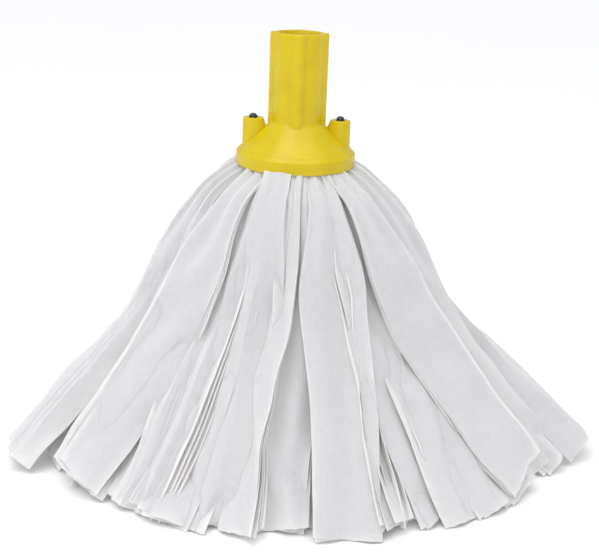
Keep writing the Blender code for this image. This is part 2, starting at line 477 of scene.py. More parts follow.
@dataclass
class Moulding:
    """The one-piece yellow socket, with its ribs, bosses, bore and hollow."""

    finish: bpy.types.Material
    collar_band: float = 0.0074
    cone_height: float = 0.0178
    tube_radius: float = 0.0149
    wall: float = 0.0026
    web: float = 0.003
    neck_fillet: float = 0.002
    rib_radius: float = 0.004
    rib_proud: float = 0.00235
    rib_blend: float = 0.0006
    ribs_below_seat: float = 0.0035
    bore_mouth: float = 0.0124
    bore_seat: float = 0.0118
    mouth_bevel: tuple[float, float] = (0.0002, 0.0003)
    parting_step: float = 0.00016
    ledge: float = 0.0024
    boss_reach: float = 0.026
    boss_radius: float = 0.0061
    boss_flare: float = 0.0004
    boss_sunk: float = 0.0008
    boss_above_cone: float = 0.0015
    boss_lean: float = 0.3
    screw_hole: float = 0.00205
    screw_hole_foot: float = 0.006
    head_recess: tuple[float, float] = (0.0029, 0.0006)
    edge: float = 0.0005
    ring_gap: float = 0.0022
    steps: int = 192
    collar_radius: float = field(init=False)
    rim_z: float = field(init=False)
    top_z: float = field(init=False)

    def __post_init__(self) -> None:
        """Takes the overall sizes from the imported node."""
        low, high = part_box("socket")
        self.collar_radius = (high.x - low.x) / 2
        self.rim_z, self.top_z = low.z, high.z
        self.cone_foot_z = self.rim_z + self.collar_band
        self.cone_top_z = self.cone_foot_z + self.cone_height
        self.slope = self.cone_height / (self.collar_radius - self.tube_radius)
        self.wall_drop = self.wall * math.hypot(1, self.slope)
        self.cavity_top_z = self.cone_top_z - self.wall_drop - self.wall * self.slope / 2
        self.boss_top_z = self.cone_top_z + self.boss_above_cone
        self.seat_z = self.cavity_top_z + self.web

    def cavity_radius(self, height: float) -> float:
        """Radius of the cone's inner surface at a height."""
        return self.collar_radius - (height + self.wall_drop - self.cone_foot_z) / self.slope

    def outside(self) -> Profile:
        """Draws the outer profile.

        Returns:
            Points from the rim of the bore down to the rim of the collar.
        """
        corner_radius = self.collar_radius - self.ledge
        corner_z = self.cone_foot_z + self.ledge * self.slope
        profile = [
            (self.bore_mouth + self.mouth_bevel[0], self.top_z),
            (self.tube_radius, self.top_z),
            (self.tube_radius, self.cone_top_z),
            (corner_radius, corner_z),
            (corner_radius, corner_z - self.parting_step),
            (self.collar_radius, self.cone_foot_z - self.parting_step),
            (self.collar_radius, self.rim_z),
            (self.collar_radius - self.wall, self.rim_z),
        ]
        edge = self.edge
        return rounded(profile, {1: edge, 2: self.neck_fillet, 5: edge, 6: edge})

    def inside(self) -> Profile:
        """Draws the inner profile.

        Returns:
            Points from the collar's rim up the hollow to the web.
        """
        inner = self.collar_radius - self.wall
        hollow_top = self.cone_foot_z + (self.collar_radius - inner) * self.slope - self.wall_drop
        cone_end = (self.cavity_radius(self.cavity_top_z), self.cavity_top_z)
        return [(inner, hollow_top), cone_end, (0.0, self.cavity_top_z)]

    def rib_reach(self, angle: float) -> float:
        """Outer radius of the ribbed tube, with each rib's foot blended in.

        Args:
            angle: where round the axis, in radians.

        Returns:
            The radius.
        """
        off = (angle + math.pi / 4) % (math.pi / 2) - math.pi / 4
        centre = self.tube_radius + self.rib_proud - self.rib_radius
        across = centre * math.sin(off)
        if abs(across) >= self.rib_radius:
            return self.tube_radius
        rib = centre * math.cos(off) + math.sqrt(self.rib_radius**2 - across**2)
        gap = max(0.0, 1 - abs(rib - self.tube_radius) / self.rib_blend)
        return max(rib, self.tube_radius) + self.rib_blend * gap * gap / 4

    def body(self) -> bpy.types.Object:
        """Turns tube, cone and collar, then draws the ribs out of the tube's own surface.

        Returns:
            The body, still without its bosses.
        """
        mouth = (self.bore_mouth, self.top_z - self.mouth_bevel[1])
        bore = [(0.0, self.seat_z), (self.bore_seat, self.seat_z), mouth]
        outline = self.outside()
        outside = []
        for upper, lower in zip(outline, outline[1:]):
            count = max(1, round((Vector(upper) - Vector(lower)).length / self.ring_gap))
            outside += [tuple(Vector(upper).lerp(Vector(lower), i / count)) for i in range(count)]
        outside.append(outline[-1])
        made = lathe("moulded_socket", bore + outside + self.inside(), self.finish, self.steps)
        foot = self.seat_z - self.ribs_below_seat
        widest = self.tube_radius + self.neck_fillet + 0.002
        for vertex in made.data.vertices:
            radius = math.hypot(vertex.co.x, vertex.co.y)
            on_top = vertex.co.z > self.top_z - self.edge * 1.5
            least = self.tube_radius - (self.edge * 1.1 if on_top else 1e-5)
            if vertex.co.z < foot or not least <= radius <= widest:
                continue
            reach = self.rib_reach(math.atan2(vertex.co.y, vertex.co.x))
            rounded_in = self.tube_radius - radius if on_top else 0.0
            wanted = max(radius, reach - max(0.0, rounded_in))
            vertex.co.x *= wanted / radius
            vertex.co.y *= wanted / radius
        return made

    def boss(self, x: float) -> bpy.types.Object:
        """Makes one screw boss, which stands in the cone and leans on the tube.

        Args:
            x: how far to the right of the axis it stands.

        Returns:
            The boss.
        """
        foot = self.cone_foot_z - self.boss_sunk
        profile = [
            (0.0, self.boss_top_z),
            (self.boss_radius, self.boss_top_z),
            (self.boss_radius + self.boss_flare, foot),
            (0.0, foot),
        ]
        made = lathe("boss", rounded(profile, {1: self.edge}), self.finish, 64)
        inward = -math.copysign(1.0, x)
        for vertex in made.data.vertices:
            toward = max(0.0, vertex.co.x * inward) / self.boss_radius
            vertex.co.x += inward * toward * self.boss_lean * (self.boss_top_z - vertex.co.z)
        made.data.transform(Matrix.Translation((x, 0, 0)))
        return made

    def pin(self, radius: float, low: float, high: float, x: float) -> bpy.types.Object:
        """Makes a round cutter.

        Args:
            radius: its radius.
            low: the height of its foot.
            high: the height of its top.
            x: how far to the right of the axis it stands.

        Returns:
            The cutter.
        """
        made = lathe("pin", [(0.0, high), (radius, high), (radius, low), (0.0, low)], self.finish, 48)
        made.data.transform(Matrix.Translation((x, 0, 0)))
        return made

    def build(self) -> bpy.types.Object:
        """Makes the moulding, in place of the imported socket.

        Returns:
            The finished piece.
        """
        made = self.body()
        recess, depth = self.head_recess
        places = (-self.boss_reach, self.boss_reach)
        for x in places:
            boolean(made, self.boss(x), "UNION")
        below = self.rim_z - 0.002
        hollow = [(0.0, self.cavity_top_z), *reversed(self.inside()[:2])]
        hollow += [(self.collar_radius - self.wall, below), (0.0, below)]
        boolean(made, lathe("hollow", hollow, self.finish, self.steps), "DIFFERENCE")
        for x in places:
            hole_foot = self.rim_z + self.screw_hole_foot
            boolean(made, self.pin(self.screw_hole, hole_foot, self.top_z, x), "DIFFERENCE")
            boolean(made, self.pin(recess, self.boss_top_z - depth, self.top_z, x), "DIFFERENCE")
        shade(made, 40)
        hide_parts("socket")
        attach(made, HEAD)
        return made


@dataclass
class DomeScrew:
    """One black dome-headed screw."""

    finish: bpy.types.Material
    side: str
    head_height: float = 0.0028
    head_brim: float = 0.0004
    shank_radius: float = 0.00175
    tip_height: float = 0.002
    dome_steps: int = 12

    def build(self) -> bpy.types.Object:
        """Makes the screw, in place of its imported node.

        Returns:
            The finished piece.
        """
        low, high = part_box(f"screw_{self.side}")
        x = (low.x + high.x) / 2
        head = (high.x - low.x) / 2
        seat = high.z - self.head_height
        crown = self.head_height - self.head_brim
        angles = [math.pi / 2 * i / self.dome_steps for i in range(self.dome_steps + 1)]
        dome = [(head * math.sin(a), seat + self.head_brim + crown * math.cos(a)) for a in angles]
        shank = [(head, seat), (self.shank_radius, seat), (self.shank_radius, low.z + self.tip_height)]
        tip = [(self.shank_radius / 3, low.z), (0.0, low.z)]
        made = lathe(f"dome_screw_{self.side}", dome + shank + tip, self.finish, 48)
        made.data.transform(Matrix.Translation((x, 0, 0)))
        shade(made)
        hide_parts(f"screw_{self.side}")
        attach(made, HEAD)
        return made


@dataclass
class ClampedFold:
    """The folded middle of the strips, pleated round the plate inside the collar."""

    finish: bpy.types.Material
    pleats: int = 48
    pleat_depth: float = 0.0006
    plate_thickness: float = 0.0036
    plate_play: float = 0.0003
    side_height: float = 0.0072

    def build(self) -> bpy.types.Object:
        """Makes the fold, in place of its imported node.

        Returns:
            The finished piece.
        """
        low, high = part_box("strip_fold")
        plate_low, plate_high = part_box("clamp_plate")
        plate_top = plate_low.z + self.plate_thickness
        plate_radius = plate_high.x + self.plate_play
        outer = high.x
        shoulder = low.z + self.side_height
        profile = [
            (0.0, high.z - 0.0012),
            (0.013, high.z - 0.0008),
            (outer - 0.001, shoulder),
            (outer, shoulder - 0.002),
            (outer, low.z),
            (plate_radius, low.z),
            (plate_radius, plate_top),
            (0.0, plate_top),
        ]
        made = lathe("clamped_fold", profile, self.finish, self.pleats * 6)
        for vertex in made.data.vertices:
            radius = math.hypot(vertex.co.x, vertex.co.y)
            if radius > 1e-4 and vertex.co.z > low.z + 0.0005:
                wave = 0.5 - 0.5 * math.cos(self.pleats * math.atan2(vertex.co.y, vertex.co.x))
                vertex.co.z -= self.pleat_depth * wave
        add_cloth_map(made)
        shade(made, 60)
        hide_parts("strip_fold")
        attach(made, HEAD)
        return made


# ---------------------------------------------------------------- the strips


class Row(Enum):
    """Which ring of the collar a bundle hangs from."""

    OUTER = "outer"
    INNER = "inner"
    LINING = "lining"


class Fold(Enum):
    """How a bundle's strips are folded across their width."""

    FLAT = "flat"
    CREASED = "creased"
    PLEATED = "pleated"
    GATHERED = "gathered"


@dataclass(frozen=True)
class Wave:
    """A wave across a strip: its height, its half turns across and how far it drifts going down.

    It grows in between two shares of the drop.
    """

    height: float
    turns: float
    drift: float
    grows: tuple[float, float]


ROW_DEPTH = {Row.OUTER: 0.0, Row.INNER: 0.0022, Row.LINING: 0.0045}
WAVES = {
    Fold.FLAT: Wave(0.0015, 1.0, 1.0, (0.1, 0.5)),
    Fold.PLEATED: Wave(0.0016, 1.5, 1.5, (0.05, 0.3)),
    Fold.GATHERED: Wave(0.0019, 2.6, 1.2, (0.05, 0.4)),
}

# Knots of (share of the drop, share of the way out from the collar to the strip's reach).
FALLS: dict[Row, Curve] = {
    Row.OUTER: (
        (0.0, 0.0), (0.02, 0.045), (0.07, 0.125), (0.16, 0.225), (0.3, 0.335),
        (0.45, 0.435), (0.6, 0.57), (0.8, 0.78), (1.0, 1.0),
    ),
    Row.INNER: (
        (0.0, 0.0), (0.03, 0.03), (0.1, 0.1), (0.2, 0.195), (0.35, 0.31),
        (0.5, 0.44), (0.7, 0.645), (0.85, 0.81), (1.0, 1.0),
    ),
    Row.LINING: (
        (0.0, 0.0), (0.05, 0.03), (0.2, 0.17), (0.4, 0.36), (0.6, 0.56), (0.8, 0.77), (1.0, 1.0),
    ),
}

# Knots of (share of the drop, share of the turn from the root's azimuth to the end's).
SIDEWAYS: Curve = ((0, 0), (0.12, 0.1), (0.5, 0.52), (1, 1))


def smooth_step(value: np.ndarray | float, start: float, end: float) -> np.ndarray | float:
    """0 before start and 1 after end, with a smooth run between them."""
    share = np.clip((value - start) / (end - start), 0, 1)
    return share * share * (3 - 2 * share)


def hump(value: np.ndarray, place: float, spread: float) -> np.ndarray:
    """1 at a place, falling smoothly to 0 on both sides of it."""
    return np.exp(-(((value - place) / spread) ** 2))


def smooth_curve(places: np.ndarray, knots: Curve) -> np.ndarray:
    """Reads a smooth curve.

    Args:
        places: where to read it.
        knots: (place, value) points that it goes through.

    Returns:
        The value at each place.
    """
    x, y = np.array(knots).T
    tangent = np.gradient(y, x)
    i = np.clip(np.searchsorted(x, places, side="right") - 1, 0, len(x) - 2)
    span = x[i + 1] - x[i]
    t = np.clip((places - x[i]) / span, 0, 1)
    start = (2 * t**3 - 3 * t**2 + 1) * y[i] + (t**3 - 2 * t**2 + t) * span * tangent[i]
    end = (3 * t**2 - 2 * t**3) * y[i + 1] + (t**3 - t**2) * span * tangent[i + 1]
    return start + end


def oval(azimuth: float, side: float, front: float) -> float:
    """Distance from the axis to an oval with these half axes, at an azimuth."""
    angle = math.radians(azimuth)
    return 1 / math.hypot(math.sin(angle) / side, math.cos(angle) / front)


class Ripple:
    """A smooth seeded wave over a strip, built from a few sines."""

    def __init__(
        self, seed: int, along: tuple[float, float], across: tuple[float, float], count: int = 4
    ) -> None:
        """Chooses the waves.

        Args:
            seed: fixes the choice.
            along: least and most waves along a strip.
            across: least and most waves across it.
            count: how many sines are added.
        """
        chance = random.Random(seed)
        self.waves = []
        for _ in range(count):
            down = chance.uniform(*along)
            over = chance.uniform(*across) * chance.choice((-1, 1))
            self.waves.append((down, over, chance.uniform(0, math.tau)))

    def at(self, along: np.ndarray, across: np.ndarray | float) -> np.ndarray:
        """The wave's height, mostly between -1 and 1, at shares along and across the strip."""
        total = sum(np.sin(math.tau * (a * along + b * across) + phase) for a, b, phase in self.waves)
        return total / math.sqrt(len(self.waves))


@dataclass(frozen=True)
class Bundle:
    """Strips that were cut and laid together and hang as one.

    Root and end are the azimuths of its two ends, and reach is how far from the axis it ends. Twist
    turns the strips about their own length, so that 0 shows their faces and 90 shows their edges, and
    it changes between the two shares of the drop in turn. Fan is the angle between two plies' ends,
    and pitch is the distance between them there. Lift raises the ends off the floor, curl bends the
    edges up, level moves the bundle out at the rim, and sway lets it wander. Pinch draws it together
    half way down, crest stands it up at the rim, bend bows it sideways, and toe lets its ends run on.
    """

    name: str
    root: float
    end: float
    reach: float
    row: Row = Row.OUTER
    fold: Fold = Fold.FLAT
    plies: int = 3
    width: float = 0.026
    twist: float = 0.0
    twist_root: float = 0.0
    fan: float = 2.0
    lift: float = 0.0
    pitch: float = 0.0026
    sway: float = 0.0015
    curl: float = 0.0
    level: float = 0.0
    turn: tuple[float, float] = (0.05, 0.6)
    pinch: float = 0.0
    crest: float = 0.0
    bend: float = 0.0
    toe: float = 0.0
    seed: int = 0


@dataclass
class Leg:
    """One hanging strip of a bundle."""

    bundle: Bundle
    ply: int
    rim_z: float
    root_radius: float
    root_width: float = 0.016
    thickness: float = 0.0005
    rows: int = 54
    columns: int = 13
    tucked: float = 0.004
    ply_gap: float = 0.0009
    uneven: tuple[float, float] = (-0.001, 0.006)
    crest_spread: tuple[float, float] = (0.02, 0.011)
    pinch_spread: tuple[float, float] = (0.45, 0.09)
    full_width_at: float = 0.34
    pleat: float = 0.0015
    soft: float = 0.0011
    fine: float = 0.00013
    ruffle: float = 0.0006
    slant: float = 0.0025
    nick: float = 0.0004

    def drops(self) -> np.ndarray:
        """Shares the drop out into rows.

        Returns:
            Shares of the drop, denser near the collar. A negative share is inside the collar.
        """
        even = np.linspace(0, 1, self.rows - 2)
        inside = -self.tucked / self.rim_z
        return np.concatenate([[inside, inside / 2], even**1.25])

    def ripple(self, number: int, along: tuple, across: tuple, count: int) -> Ripple:
        """One of the bundle's own ripples, by its number."""
        return Ripple(self.bundle.seed * 7 + number, along, across, count)

    def centre(self, drop: np.ndarray) -> tuple[np.ndarray, np.ndarray]:
        """The strip's middle line.

        Args:
            drop: shares of the drop.

        Returns:
            The points, and the azimuth in radians at each of them.
        """
        plan, down = self.bundle, np.clip(drop, 0, 1)
        chance = random.Random(plan.seed * 31 + self.ply)
        middle = self.ply - (plan.plies - 1) / 2
        turn = smooth_curve(down, SIDEWAYS)
        end = plan.end + plan.fan * middle + chance.uniform(-0.8, 0.8) * plan.fan * 0.4
        azimuth = np.radians(plan.root + (end - plan.root) * turn + plan.bend * np.sin(math.pi * down))
        spread = (plan.pitch - self.ply_gap) * smooth_step(down, 0.1, 1.0)
        stack = self.ply * (self.ply_gap + spread)
        twist = np.radians(self.twist_at(down))
        start = self.root_radius - ROW_DEPTH[plan.row]
        fall = smooth_curve(down, FALLS[plan.row])
        longer = chance.uniform(*self.uneven) if self.ply else 0.0
        reach = plan.reach + (plan.toe + longer) * smooth_step(down, 0.8, 1.0)
        radius = start + (reach - start) * fall - stack * np.abs(np.cos(twist))
        radius = radius + plan.level * smooth_step(down, 0.0, 0.08)
        sway = self.ripple(1, (0.6, 1.7), (0, 0), 3).at(down, 0.0)
        beside = sway * plan.sway * smooth_step(down, 0.15, 0.5) + stack * np.sin(twist)
        bulge = self.ripple(2, (0.8, 2.2), (0, 0), 3).at(down, 0.0)
        bulge = bulge * plan.sway * smooth_step(down, 0.1, 0.4)
        radius = radius + bulge * (1 - 0.6 * down)
        height = self.rim_z * (1 - drop) + plan.lift * down
        height = height + plan.crest * hump(down, *self.crest_spread) * (self.ply == 0)
        outward = np.stack([np.sin(azimuth), -np.cos(azimuth), np.zeros_like(azimuth)], 1)
        sideways = np.stack([np.cos(azimuth), np.sin(azimuth), np.zeros_like(azimuth)], 1)
        points = outward * radius[:, None] + sideways * beside[:, None]
        points[:, 2] = height
        return points, azimuth

    def twist_at(self, down: np.ndarray) -> np.ndarray:
        """Degrees of twist at shares of the drop."""
        plan = self.bundle
        return plan.twist_root + (plan.twist - plan.twist_root) * smooth_step(down, *plan.turn)

    def squeeze(self, down: np.ndarray) -> np.ndarray:
        """How far the strip is drawn together part way down, from 0 to 1."""
        return self.bundle.pinch * hump(down, *self.pinch_spread)

    def section(self, down: np.ndarray, across: np.ndarray) -> np.ndarray:
        """How far the cloth stands off its middle plane.

        Args:
            down: shares of the drop, as a column.
            across: shares across the strip from -1 to 1, as a row.

        Returns:
            The distance in metres at each point of the grid.
        """
        plan = self.bundle
        chance = random.Random(plan.seed * 13 + 5)
        gathered = 1 - smooth_step(down, 0.02, 0.45) + 0.8 * self.squeeze(down)
        phase, shift = chance.uniform(0, math.tau), chance.uniform(-0.25, 0.25)
        calm = 0.25 if plan.crest else 1.0
        turns = chance.uniform(1.7, 2.6)
        pleat = self.pleat * calm * gathered * np.sin(math.pi * turns * across + phase)
        if plan.fold is Fold.CREASED:
            ridge = 0.25 * np.abs(across - shift - 0.25 * (down - 0.5))
            wave = -plan.width * ridge * smooth_step(down, 0.1, 0.4) * 1.2
        else:
            kind = WAVES[plan.fold]
            turn = math.pi * kind.turns * across + phase + kind.drift * down
            wave = kind.height * np.sin(turn) * smooth_step(down, *kind.grows)
        soft = self.ripple(3, (1.2, 5.0), (0.1, 0.8), 5).at(down, across) * self.soft
        fine = self.ripple(4 + self.ply, (4.0, 12.0), (0.4, 1.6), 6).at(down, across) * self.fine
        edge = self.ripple(9, (2.0, 6.0), (0.0, 0.3), 4).at(down, across)
        curl = (plan.curl + self.ruffle * edge) * np.abs(across) ** 3 * smooth_step(down, 0.2, 0.8)
        return pleat + wave + (soft + fine) * smooth_step(down, 0.02, 0.3) + curl

    def grid(self) -> tuple[np.ndarray, np.ndarray, np.ndarray]:
        """The strip's middle surface.

        Returns:
            The grid of points, the lengths along it and the shares across it.
        """
        drop = self.drops()
        points, azimuth = self.centre(drop)
        plan, down = self.bundle, np.clip(drop, 0, 1)
        along = np.gradient(points, axis=0)
        along /= np.linalg.norm(along, axis=1)[:, None]
        side = np.stack([np.cos(azimuth), np.sin(azimuth), np.zeros_like(azimuth)], 1)
        side -= along * (side * along).sum(1)[:, None]
        side /= np.linalg.norm(side, axis=1)[:, None]
        outward = np.cross(along, side)
        twist = np.radians(self.twist_at(down))[:, None]
        face = np.cos(twist) * outward + np.sin(twist) * side
        broad = np.cos(twist) * side - np.sin(twist) * outward
        across = np.linspace(-1, 1, self.columns)
        root = self.root_width
        width = root + (plan.width - root) * smooth_step(down, 0.0, self.full_width_at)
        width = width * (1 - self.squeeze(down))
        stand = self.section(down[:, None], across[None, :])
        surface = (
            points[:, None, :]
            + broad[:, None, :] * (width[:, None] / 2 * across[None, :])[:, :, None]
            + face[:, None, :] * stand[:, :, None]
        )
        self.trim(surface)
        length = np.concatenate([[0], np.cumsum(np.linalg.norm(np.diff(points, axis=0), axis=1))])
        return surface, length, across

    def trim(self, surface: np.ndarray) -> None:
        """Cuts the lower end a little askew and keeps the strip off the floor.

        Args:
            surface: the grid of points, which is changed.
        """
        chance = random.Random(self.bundle.seed * 17 + self.ply)
        slant = chance.uniform(-self.slant, self.slant)
        across = np.linspace(-1, 1, self.columns)
        nick = np.array([chance.uniform(-self.nick, self.nick) for _ in across])
        last = surface[-1] - surface[-2]
        last /= np.linalg.norm(last, axis=1)[:, None]
        surface[-1] -= last * (np.abs(slant) + slant * across + nick)[:, None]
        self.settle(surface)

    def settle(self, surface: np.ndarray) -> None:
        """Brings the lowest corner of the end just clear of the floor.

        Args:
            surface: the grid of points, which is changed.
        """
        clear = self.thickness * (1 + 0.8 * self.ply) + self.bundle.lift
        down = np.clip(self.drops(), 0, 1)
        gap = clear - surface[-6:, :, 2].min()
        surface[:, :, 2] += (gap * smooth_step(down, 0.35, 1.0))[:, None]
        low = surface[:, :, 2] < self.thickness
        surface[low, 2] = self.thickness

    def build(self, name: str, finish: bpy.types.Material) -> tuple[bpy.types.Object, float]:
        """Makes the strip as a closed sheet with its cloth map.

        Args:
            name: the piece's name.
            finish: the cloth.

        Returns:
            The piece, and the strip's length.
        """
        surface, length, across = self.grid()
        rows, columns = surface.shape[:2]
        down = np.gradient(surface, axis=0)
        over = np.gradient(surface, axis=1)
        normal = np.cross(down, over)
        normal /= np.linalg.norm(normal, axis=2)[:, :, None] + 1e-12
        half = normal * self.thickness / 2
        points = np.concatenate([(surface + half).reshape(-1, 3), (surface - half).reshape(-1, 3)])
        size = rows * columns
        faces = []
        for r in range(rows - 1):
            for c in range(columns - 1):
                a = r * columns + c
                faces.append((a, a + columns, a + columns + 1, a + 1))
                faces.append((size + a, size + a + 1, size + a + columns + 1, size + a + columns))
        border = [(0, c) for c in range(columns - 1)]
        border += [(r, columns - 1) for r in range(rows - 1)]
        border += [(rows - 1, c) for c in range(columns - 1, 0, -1)]
        border += [(r, 0) for r in range(rows - 1, 0, -1)]
        for here, there in zip(border, border[1:] + border[:1]):
            a, b = here[0] * columns + here[1], there[0] * columns + there[1]
            faces.append((a, b, size + b, size + a))
        made = new_object(name, points, faces, finish)
        layer = made.data.uv_layers.new(name="cloth")
        shift = 0.037 * (self.bundle.seed * 5 + self.ply)
        over_map = [across[c] * self.bundle.width / 2 + shift for c in range(columns)]
        place = [(over_map[c], length[r]) for r in range(rows) for c in range(columns)]
        for loop in made.data.loops:
            layer.data[loop.index].uv = place[loop.vertex_index % size]
        shade(made, 50)
        return made, float(length[-1])


@dataclass
class Skirt:
    """All the hanging strips, each named after the tuft whose wedge of the circle it ends in."""

    finish: bpy.types.Material
    # Cloth for the lining ring: a darker, warmer copy of the white cloth, which is painted warm shade of the deep
    # gaps between the strips.
    lining_gap_shade_finish: bpy.types.Material
    front: tuple[Bundle, ...]
    back_seed: int = 11
    strip_width: float = 0.0285
    back_oval: tuple[float, float] = (0.166, 0.118)
    lining_width: float = 0.03
    lining_oval: tuple[float, float] = (0.158, 0.1)
    lining_count: int = 20
    blend_depth: float = 0.03

    def __post_init__(self) -> None:
        """Takes the collar's rim and the tufts' hinges from the frame."""
        self.rim_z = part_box("socket")[0].z
        self.root_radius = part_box("strip_fold")[1].x - 0.0006
        self.hinges = {}
        for joint in frame["joints"]:
            place = Vector(joint["pos_m"])
            self.hinges[joint["child"]] = math.degrees(math.atan2(place.x, -place.y))

    def tuft_of(self, bundle: Bundle) -> str:
        """The body whose wedge of the circle a bundle ends in."""
        apart = {
            body: abs((azimuth - bundle.end + 180) % 360 - 180)
            for body, azimuth in self.hinges.items()
        }
        return min(apart, key=apart.get)

    def back(self) -> list[Bundle]:
        """Lays out the far side.

        Returns:
            Bundles spread like the front ones.
        """
        chance = random.Random(self.back_seed)
        made = []
        folds = (Fold.FLAT, Fold.PLEATED, Fold.CREASED, Fold.GATHERED)
        for row, first, last, step in ((Row.OUTER, 108, 252, 20.5), (Row.INNER, 98, 264, 15.5)):
            outer = row is Row.OUTER
            azimuth = float(first)
            while azimuth < last:
                reach = oval(azimuth, *self.back_oval)
                made.append(
                    Bundle(
                        name=f"back_{row.value}_{len(made) + 1}",
                        root=azimuth + chance.uniform(-3, 3),
                        end=azimuth + chance.uniform(-4, 4),
                        reach=reach * chance.uniform(0.9, 1.0) + (0.004 if outer else 0.0),
                        row=row,
                        fold=chance.choice(folds),
                        width=self.strip_width,
                        twist=chance.uniform(-28, 28) * (1.0 if outer else 1.8),
                        fan=chance.uniform(1.5, 3.5),
                        lift=chance.uniform(0, 0.003),
                        sway=chance.uniform(0.001, 0.0026),
                        seed=200 + len(made),
                    )
                )
                azimuth += step
        return made

    def lining(self) -> list[Bundle]:
        """Lays out a plain ring of strips behind the others.

        Returns:
            The ring's bundles.
        """
        chance = random.Random(self.back_seed + 1)
        made = []
        for number in range(self.lining_count):
            azimuth = -180 + 360 * (number + 0.5) / self.lining_count
            made.append(
                Bundle(
                    name=f"lining_{number + 1}",
                    root=azimuth,
                    end=azimuth + chance.uniform(-2, 2),
                    reach=oval(azimuth, *self.lining_oval) * chance.uniform(0.95, 1.03),
                    row=Row.LINING,
                    fold=chance.choice((Fold.FLAT, Fold.PLEATED)),
                    plies=2,
                    width=self.lining_width,
                    twist=chance.uniform(-12, 12),
                    fan=4,
                    seed=400 + number,
                )
            )
        return made

    def build(self) -> int:
        """Makes every leg.

        Returns:
            How many legs there are.
        """
        counts = dict.fromkeys(self.hinges, 0)
        nodes = {body: list(frame["record"]["behaviour"]["bodies"][body]) for body in self.hinges}
        for bundle in [*self.front, *self.back(), *self.lining()]:
            body = self.tuft_of(bundle)
            # The lining legs take the cloth with painted warm gap shade.
            finish = self.lining_gap_shade_finish if bundle.row is Row.LINING else self.finish
            for ply in range(bundle.plies):
                counts[body] += 1
                leg = Leg(bundle, ply, self.rim_z, self.root_radius)
                name = f"leg_{body.removeprefix('tuft_')}_{counts[body]:02d}"
                made, length = leg.build(name, finish)
                if nodes[body]:
                    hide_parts(nodes[body].pop(0))
                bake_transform(made)
            log.debug("%s: %d plies on %s", bundle.name, bundle.plies, body)
        for body, left in nodes.items():
            if left:
                raise ValueError(f"{body} has no leg for {left}")
            log.info("%s: %d legs", body, counts[body])
        return sum(counts.values())


OUT, IN = Row.OUTER, Row.INNER
FLAT, CREASED, PLEATED, GATHERED = Fold
FRONT_BUNDLES = (
    Bundle(
        "left_edge", -86, -76, 0.182, OUT, CREASED, 3, 0.029, 28, twist_root=16,
        turn=(0.4, 0.62), pinch=0.3, fan=1.5, level=-0.004, lift=0.002, seed=1,
    ),
    Bundle(
        "left_shoulder", -72, -76, 0.146, OUT, FLAT, 3, 0.034, 30, twist_root=20,
        fan=1.5, level=0.004, bend=-4, seed=22,
    ),
    Bundle(
        "left_wide", -40, -59, 0.141, OUT, FLAT, 3, 0.034, 32, twist_root=6,
        fan=1.0, level=0.005, lift=0.004, bend=-3, seed=2,
    ),
    Bundle(
        "left_gathered", -34, -41, 0.130, OUT, GATHERED, 4, 0.030, 14,
        fan=0.8, pitch=0.0032, bend=1, seed=10,
    ),
    Bundle(
        "left_slim", -26, -31, 0.117, OUT, PLEATED, 3, 0.029, 10,
        fan=0.8, pitch=0.003, level=0.0015, seed=3,
    ),
    Bundle(
        "centre_left", -15, -22, 0.115, OUT, CREASED, 4, 0.030, 6,
        fan=0.9, level=0.0055, crest=0.005, seed=4,
    ),
    Bundle("centre", 6, 2, 0.109, OUT, PLEATED, 3, 0.029, -6, fan=1.5, level=0.0015, seed=5),
    Bundle(
        "centre_wide", 23, 19, 0.122, OUT, PLEATED, 3, 0.039, -4,
        fan=0.8, pitch=0.0032, level=0.004, seed=6,
    ),
    Bundle(
        "right_wide", 43, 69, 0.154, OUT, FLAT, 3, 0.034, -34, twist_root=-4,
        fan=0.8, level=0.005, lift=0.006, curl=0.001, bend=2, seed=7,
    ),
    Bundle(
        "right_shoulder", 68, 82, 0.166, OUT, FLAT, 3, 0.032, -36, twist_root=-22,
        fan=2, level=0.002, seed=23,
    ),
    Bundle(
        "right_edge", 88, 88, 0.199, OUT, CREASED, 3, 0.031, -28, twist_root=-14,
        turn=(0.4, 0.62), pinch=0.3, fan=1.2, level=-0.003, lift=0.003, seed=8,
    ),
    Bundle("under_left_edge", -94, -84, 0.146, IN, FLAT, 3, 0.028, 30, fan=3, seed=9),
    Bundle("under_left_wide", -64, -60, 0.132, IN, FLAT, 3, 0.030, 26, fan=3, toe=0.01, seed=19),
    Bundle("under_left_gathered", -50, -49, 0.132, IN, FLAT, 3, 0.030, 16, fan=3, seed=26),
    Bundle("left_under_slim", -30, -30, 0.116, IN, FLAT, 3, 0.034, 10, fan=2.5, toe=0.011, seed=11),
    Bundle(
        "centre_stack", -5, -10, 0.113, OUT, FLAT, 5, 0.026, -34, twist_root=-10,
        fan=1.4, pitch=0.003, level=0.001, toe=0.006, seed=12,
    ),
    Bundle("centre_under", 8, 2, 0.106, IN, PLEATED, 3, 0.030, 0, fan=3, seed=20),
    Bundle(
        "right_stack", 36, 34, 0.124, IN, FLAT, 5, 0.028, 30, twist_root=10,
        fan=1.5, pitch=0.003, level=0.002, seed=13,
    ),
    Bundle("right_under_wide", 30, 28, 0.116, IN, PLEATED, 3, 0.030, 10, fan=3, seed=21),
    Bundle("right_fill", 35, 46, 0.131, OUT, FLAT, 3, 0.030, -12, fan=1.6, seed=24),
    Bundle(
        "right_curled", 40, 37, 0.124, OUT, GATHERED, 2, 0.022, 16,
        fan=1.0, curl=0.003, level=-0.001, seed=14,
    ),
    Bundle("right_pair_a", 52, 52, 0.142, IN, FLAT, 3, 0.030, -10, fan=2.5, level=0.002, seed=15),
    Bundle("right_pair_b", 60, 60, 0.148, IN, FLAT, 3, 0.030, -16, fan=2.5, level=0.002, seed=16),
    Bundle(
        "under_right_wide", 70, 67, 0.146, IN, PLEATED, 3, 0.030, -20,
        fan=2.5, toe=0.011, seed=17,
    ),
    Bundle("under_right_edge", 84, 84, 0.174, IN, FLAT, 3, 0.028, -26, fan=2.5, seed=18),
)


# ---------------------------------------------------------------- the studio


